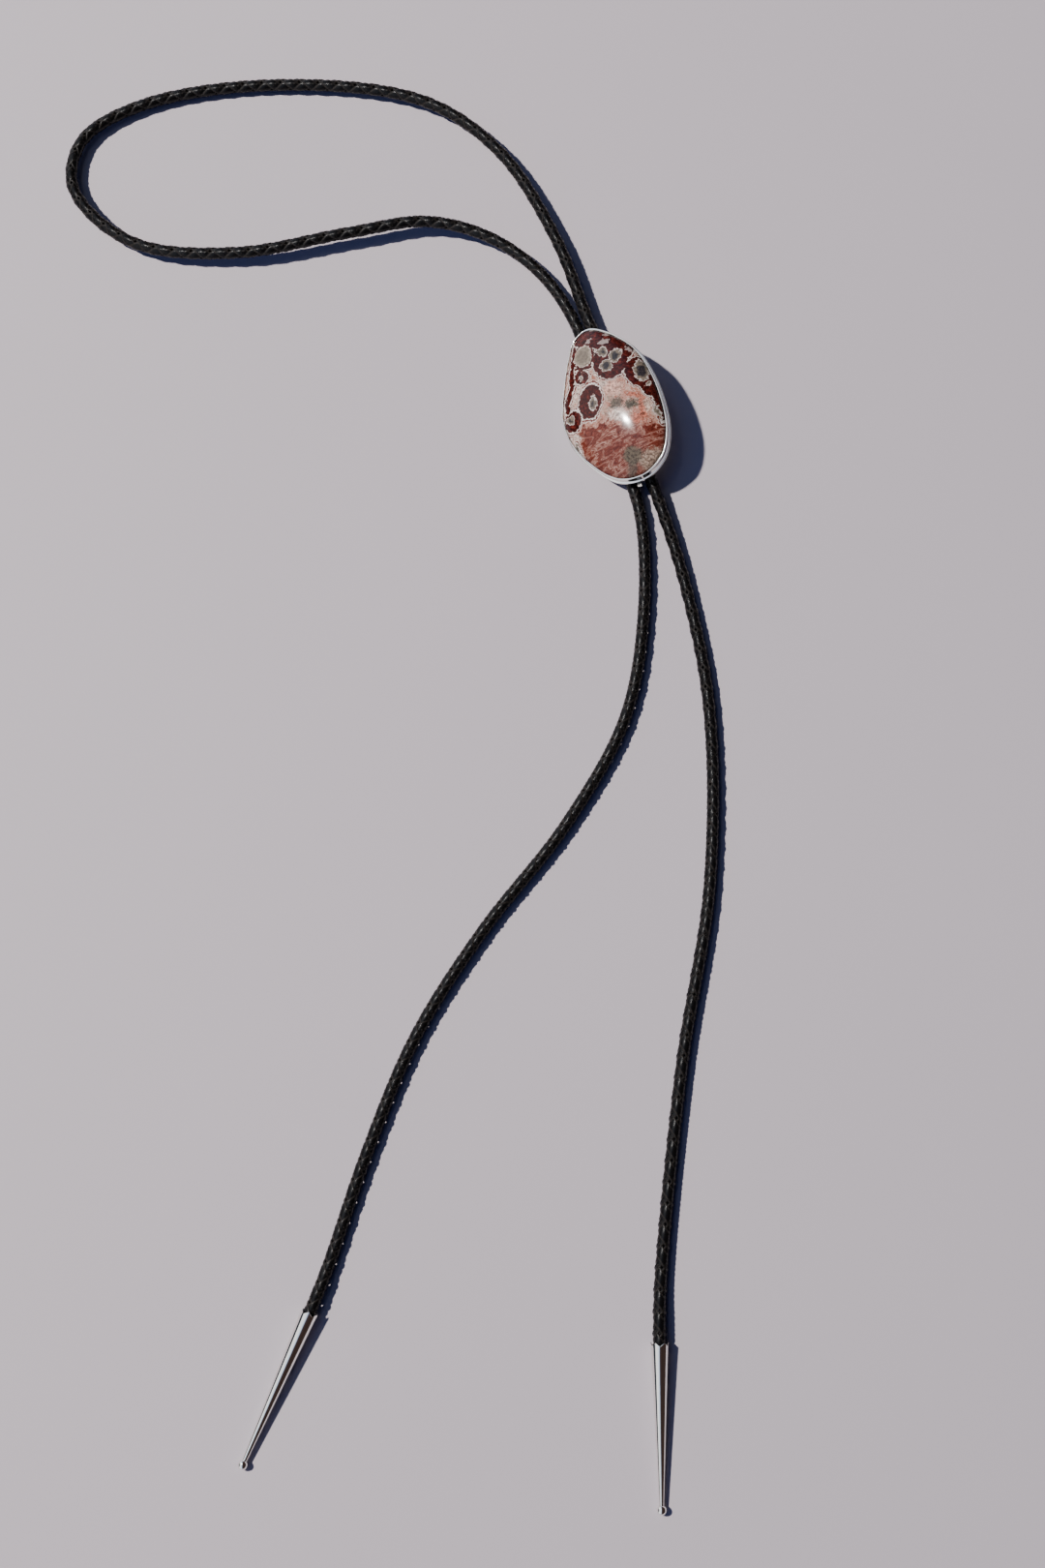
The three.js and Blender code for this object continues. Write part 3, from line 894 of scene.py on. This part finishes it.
class TipSettings(bpy.types.PropertyGroup):
    """Sizes of the cone tips."""

    length: length_setting("Length", "Length from the ball to the crown", 0.048)
    mouth_diameter: length_setting("Mouth", "Outer diameter at the crown", 0.0053)
    neck_diameter: length_setting("Neck", "Diameter where the cone meets the ball", 0.0014)
    ball_diameter: length_setting("Ball", "Diameter of the ball", 0.0029)
    wall: length_setting("Wall", "Thickness of the sheet at the mouth", 0.00035)
    crown_depth: length_setting("Crown depth", "Depth of the crown's points", 0.001)
    crown_points: IntProperty(
        name="Crown points", description="Points round the mouth", default=6, min=3
    )


class SlideSettings(bpy.types.PropertyGroup):
    """Sizes of the stone and its bezel cup."""

    stone_width: length_setting("Stone width", "Width of the stone", 0.0316)
    stone_length: length_setting("Stone length", "Length of the stone", 0.0506)
    dome_height: length_setting("Dome height", "Rise of the stone above its girdle", 0.0046)
    bezel_height: length_setting("Bezel height", "Height of the bezel above the cup's floor", 0.0032)
    bezel_wall: length_setting("Bezel wall", "Thickness of the bezel strip", 0.0004)
    flange: length_setting("Flange", "Reach of the cup's floor past the bezel", 0.00045)


class FinishSettings(bpy.types.PropertyGroup):
    """Colours of the finishes."""

    silver: colour_setting("Silver", "Colour of the cup and the tips", (0.95, 0.93, 0.88, 1))
    clip: colour_setting("Clip", "Colour of the plated sheet", (0.12, 0.115, 0.11, 1))
    leather: colour_setting("Leather", "Colour of the cord", (0.0035, 0.0033, 0.0036, 1))


class StageSettings(bpy.types.PropertyGroup):
    """The board and the lights."""

    floor_colour: colour_setting("Board", "Colour of the board", (0.45, 0.405, 0.425, 1))
    key_power: FloatProperty(
        name="Key light", description="Power of the key light", default=195, min=0, unit="POWER"
    )
    glint_power: FloatProperty(
        name="Glint light", description="Power of the light in the gloss", default=7, min=0, unit="POWER"
    )
    fill: FloatProperty(
        name="Fill", description="Share of the window's light in the shade", default=0.62, min=0,
        subtype="FACTOR",
    )


class BOLO_OT_stage(bpy.types.Operator):
    """Make the board, the lights and the camera"""

    bl_idname = "bolo.stage"
    bl_label = "Stage"

    def execute(self, context):
        stage = context.scene.bolo_stage
        reach = BOARD_REACH
        points = [(-reach, -reach, 0), (reach, -reach, 0), (reach, reach, 0), (-reach, reach, 0)]
        board = make_piece("board", points, [(0, 1, 2, 3)], floor_material(stage))
        self.add_lamp(context, "key_light", stage.key_power)
        self.add_lamp(context, "glint_light", stage.glint_power)
        self.add_world(context, stage)
        self.add_camera(context)
        return {"FINISHED"}

    def add_lamp(self, context, name, power):
        """The key lamp lights the scene, and the glint lamp shows only in gloss."""
        light = bpy.data.lights.new(name, "AREA")
        light.shape = "ELLIPSE"
        light.size, light.size_y = LAMPS[name]["size"]
        light.energy = power
        light.color = LAMP_COLOUR
        lamp = bpy.data.objects.new(name, light)
        lamp.location = LAMPS[name]["place"]
        way = (Vector(LAMPS[name]["aim"]) - lamp.location).normalized()
        lamp.rotation_euler = (math.asin(way.y), math.atan2(-way.x, -way.z), 0)
        lamp.visible_glossy = name == "glint_light"
        lamp.visible_diffuse = name == "key_light"
        context.scene.collection.objects.link(lamp)

    def add_world(self, context, stage):
        """A room with a window on one side, and a plain backdrop for the camera."""
        world = bpy.data.worlds.new("Studio")
        world.use_nodes = True
        s = Shading(world.node_tree)
        way = s.add("ShaderNodeTexCoord").outputs["Generated"]
        towards_window = s.vector("DOT_PRODUCT", way, WINDOW_WAY)
        sky = s.ramp(
            s.maths("MULTIPLY_ADD", towards_window, 0.5, 0.5),
            (0.3, "2b211f"), (0.5, "33292b"), (0.54, "5b667e"), (0.62, "c3cfe2"), (0.9, "eef0f3"),
            (0.94, "20242c"),
        )
        background = next(n for n in world.node_tree.nodes if n.type == "BACKGROUND")
        ray = s.add("ShaderNodeLightPath").outputs
        shade = s.mix(ray["Is Diffuse Ray"], sky, s.mix(1.0, sky, tone(SHADE_TINT), "MULTIPLY"))
        s.feed(background.inputs["Color"], s.mix(ray["Is Camera Ray"], shade, tone(BACKDROP)))
        strength = s.maths("MULTIPLY_ADD", ray["Is Diffuse Ray"], stage.fill - 1, 1.0)
        strength = s.maths("MULTIPLY_ADD", ray["Is Glossy Ray"], GLOSS_GAIN, strength)
        s.feed(background.inputs["Strength"], strength)
        context.scene.world = world

    def add_camera(self, context):
        """The camera at the photograph's angle."""
        data = bpy.data.cameras.new("camera")
        data.lens = LENS
        data.sensor_width = SENSOR
        camera = bpy.data.objects.new("camera", data)
        camera.matrix_world = camera_matrix()
        context.scene.collection.objects.link(camera)
        context.scene.camera = camera


class BOLO_OT_tips(bpy.types.Operator):
    """Make the two cone tips with their crowns and balls"""

    bl_idname = "bolo.tips"
    bl_label = "Tips"

    def execute(self, context):
        tips = context.scene.bolo_tips
        material = silver_material(context.scene.bolo_finish)
        for name, place in TIP_PLACES.items():
            points, faces = loft(self.rings(tips))
            points[:, 2] -= tips.length / MM
            turn = Matrix.Rotation(math.radians(place["crown_turn"]), 4, "Z")
            piece = make_piece(
                name + "_silver", placed(points, tip_matrix(name, tips) @ turn), faces, material,
                sharp=TIP_SHARP,
            )
            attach(piece, "root")
            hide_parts(name)
        return {"FINISHED"}

    def rings(self, tips):
        """Ball, neck, cone and crown from outside, then the socket, as rings about the tip's axis."""
        whole, neck, ball = tips.length / MM, tips.neck_diameter / MM / 2, tips.ball_diameter / MM / 2
        mouth, wall, depth = tips.mouth_diameter / MM / 2, tips.wall / MM, tips.crown_depth / MM
        count = CROWN_STEPS * tips.crown_points
        around = np.arange(count) / count
        angle = around * 2 * math.pi

        def ring(radius, z):
            return np.stack([radius * np.cos(angle), radius * np.sin(angle), z + 0 * angle], axis=1)

        def ball_ring(share):
            return ring(ball * math.sin(turn * share), ball - ball * math.cos(turn * share))

        def cone(z):
            return neck + (mouth - neck) * (z - start) / (whole - start)

        turn = math.pi - math.asin(neck / ball)
        start = ball - ball * math.cos(turn)
        crown = whole - depth * np.abs(2 * ((around * tips.crown_points) % 1) - 1)
        rings = [ball_ring(i / BALL_RINGS) for i in range(1, BALL_RINGS)]
        rings += [ring(neck * 1.06, start - 0.02), ring(neck * 1.02, start + 0.12)]
        rings += [ring(cone(z), z) for z in np.linspace(start + 0.4, whole - 2 * depth, CONE_RINGS)]
        rings += [ring(mouth - 0.02, crown - EDGE_ROUND), ring(mouth - 0.07, crown)]
        rings += [ring(mouth - wall + EDGE_ROUND, crown), ring(mouth - wall, crown - EDGE_ROUND)]
        rings.append(ring(cone(whole - 2 * depth) - wall, whole - 2 * depth))
        rings.append(ring(cone(whole - SOCKET_DEPTH) - wall, whole - SOCKET_DEPTH))
        return rings


class BOLO_OT_cord(bpy.types.Operator):
    """Make the braided cord from tip to tip"""

    bl_idname = "bolo.cord"
    bl_label = "Cord"

    def execute(self, context):
        cord = context.scene.bolo_cord
        tips = context.scene.bolo_tips
        route = cord_route(tips, cord.diameter)
        points, faces, uv = braid(route, cord.diameter / MM, cord.pitch / MM)
        material = leather_material(context.scene.bolo_finish)
        piece = make_piece("braided_cord", points, faces, material, uv=uv)
        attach(piece, "root")
        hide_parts("cord")
        return {"FINISHED"}


class BOLO_OT_cup(bpy.types.Operator):
    """Make the bezel cup with its burnished rim and flange"""

    bl_idname = "bolo.cup"
    bl_label = "Bezel cup"

    def execute(self, context):
        slide = context.scene.bolo_slide
        edge, outward = outline(slide, CUP_POINTS)
        wall, reach, rise = slide.bezel_wall / MM, slide.flange / MM, slide.bezel_height / MM
        rim = CUP_FLOOR + rise
        outer = FIT_GAP + wall
        flange = outer + reach
        around = np.arange(CUP_POINTS) / CUP_POINTS * 2 * math.pi
        waver = sum(size * np.sin(waves * around + start) for size, waves, start in RIM_WAVES)

        def ring(z, out, share):
            flat = edge + outward * (out + share * waver)[:, None]
            flat[:, 2] = z
            return flat

        # Height, reach past the stone's outline, and share of the waver that burnishing leaves
        profile = [
            (0, flange - EDGE_ROUND, 0), (0.03, flange - 0.01, 0), (0.1, flange, 0),
            (CUP_FLOOR - 0.25, flange, 0), (CUP_FLOOR - 0.1, flange - 0.05, 0),
            (CUP_FLOOR - 0.01, flange - 0.18, 0), (CUP_FLOOR, outer + 0.12, 0),
            (CUP_FLOOR + 0.02, outer + 0.03, 0), (CUP_FLOOR + 0.1, outer, 0), (rim - 0.7, outer, 0),
            (rim - 0.3, outer - 0.01, 0.2), (rim - 0.12, outer - 0.05, 0.4), (rim - 0.03, outer - 0.12, 0.6),
            (rim, outer - 0.22, 0.8), (rim - 0.02, outer - 0.34, 1), (rim - 0.08, outer - 0.45, 1),
            (rim - 0.17, outer - 0.5, 1), (rim - 0.3, outer - 0.46, 1), (rim - 0.45, FIT_GAP, 0.5),
            (rim - 0.7, FIT_GAP, 0), (CUP_FLOOR, FIT_GAP, 0),
        ]
        rings = [ring(z, out, share) for z, out, share in profile]
        points, faces = loft(rings)
        place = slide_matrix() @ Matrix.Translation((0, 0, SETTING_Z))
        material = bpy.data.materials["Polished silver"]
        piece = make_piece("bezel_cup_silver", placed(points, place), faces, material, sharp=CUP_SHARP)
        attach(piece, "root")
        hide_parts("bezel_cup")
        return {"FINISHED"}


class BOLO_OT_stone(bpy.types.Operator):
    """Make the polished stone"""

    bl_idname = "bolo.stone"
    bl_label = "Stone"

    def execute(self, context):
        slide = context.scene.bolo_slide
        edge, outward = outline(slide, STONE_POINTS)
        under = CUP_FLOOR + FIT_GAP
        rings = []
        grown = edge + outward * GIRDLE_SWELL
        # The underside's rounded edge and the girdle: height, and reach past the grown outline
        for z, out in ((under, -0.35), (under + 0.08, -0.2), (under + 0.35, 0), (GIRDLE_TOP - 0.1, 0)):
            flat = grown + outward * out
            flat[:, 2] = z
            rings.append(flat)
        for i in range(DOME_RINGS):
            rise = i / DOME_RINGS * math.pi / 2
            flat = grown * math.cos(rise)
            flat[:, 2] = GIRDLE_TOP + slide.dome_height / MM * math.sin(rise)
            rings.append(flat)
        points, faces = loft(rings)
        place = slide_matrix() @ Matrix.Translation((0, 0, SETTING_Z))
        material = stone_material(slide)
        piece = make_piece("lace_stone", placed(points, place), faces, material, sharp=STONE_SHARP)
        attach(piece, "root")
        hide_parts("stone")
        return {"FINISHED"}


class BOLO_OT_clip(bpy.types.Operator):
    """Give the clip under the slide its plated finish"""

    bl_idname = "bolo.clip"
    bl_label = "Clip"

    def execute(self, context):
        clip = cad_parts["cord_clip"]
        material = clip_material(context.scene.bolo_finish)
        for slot in clip.material_slots:
            slot.material = material
        return {"FINISHED"}


class BOLO_PT_panel(bpy.types.Panel):
    """Buttons and settings of the bolo tie"""

    bl_idname = "BOLO_PT_panel"
    bl_label = "Bolo Tie"
    bl_space_type = "VIEW_3D"
    bl_region_type = "UI"
    bl_category = "Bolo Tie"

    def draw(self, context):
        for operator in OPERATORS:
            self.layout.operator(operator.bl_idname)
        for name, _ in SETTINGS:
            settings = getattr(context.scene, name)
            box = self.layout.box()
            for key in settings.__annotations__:
                box.prop(settings, key)


OPERATORS = (BOLO_OT_stage, BOLO_OT_tips, BOLO_OT_cord, BOLO_OT_cup, BOLO_OT_stone, BOLO_OT_clip)
SETTINGS = (
    ("bolo_cord", CordSettings),
    ("bolo_tips", TipSettings),
    ("bolo_slide", SlideSettings),
    ("bolo_finish", FinishSettings),
    ("bolo_stage", StageSettings),
)


def register():
    for name, settings in SETTINGS:
        bpy.utils.register_class(settings)
        setattr(bpy.types.Scene, name, PointerProperty(type=settings))
    for operator in OPERATORS:
        bpy.utils.register_class(operator)
    bpy.utils.register_class(BOLO_PT_panel)


def unregister():
    bpy.utils.unregister_class(BOLO_PT_panel)
    for operator in reversed(OPERATORS):
        bpy.utils.unregister_class(operator)
    for name, settings in reversed(SETTINGS):
        delattr(bpy.types.Scene, name)
        bpy.utils.unregister_class(settings)


def main():
    register()
    bpy.ops.bolo.stage()
    bpy.ops.bolo.tips()
    bpy.ops.bolo.cord()
    bpy.ops.bolo.cup()
    bpy.ops.bolo.stone()
    bpy.ops.bolo.clip()
    bpy.context.view_layer.update()


if __name__ == "__main__":
    main()
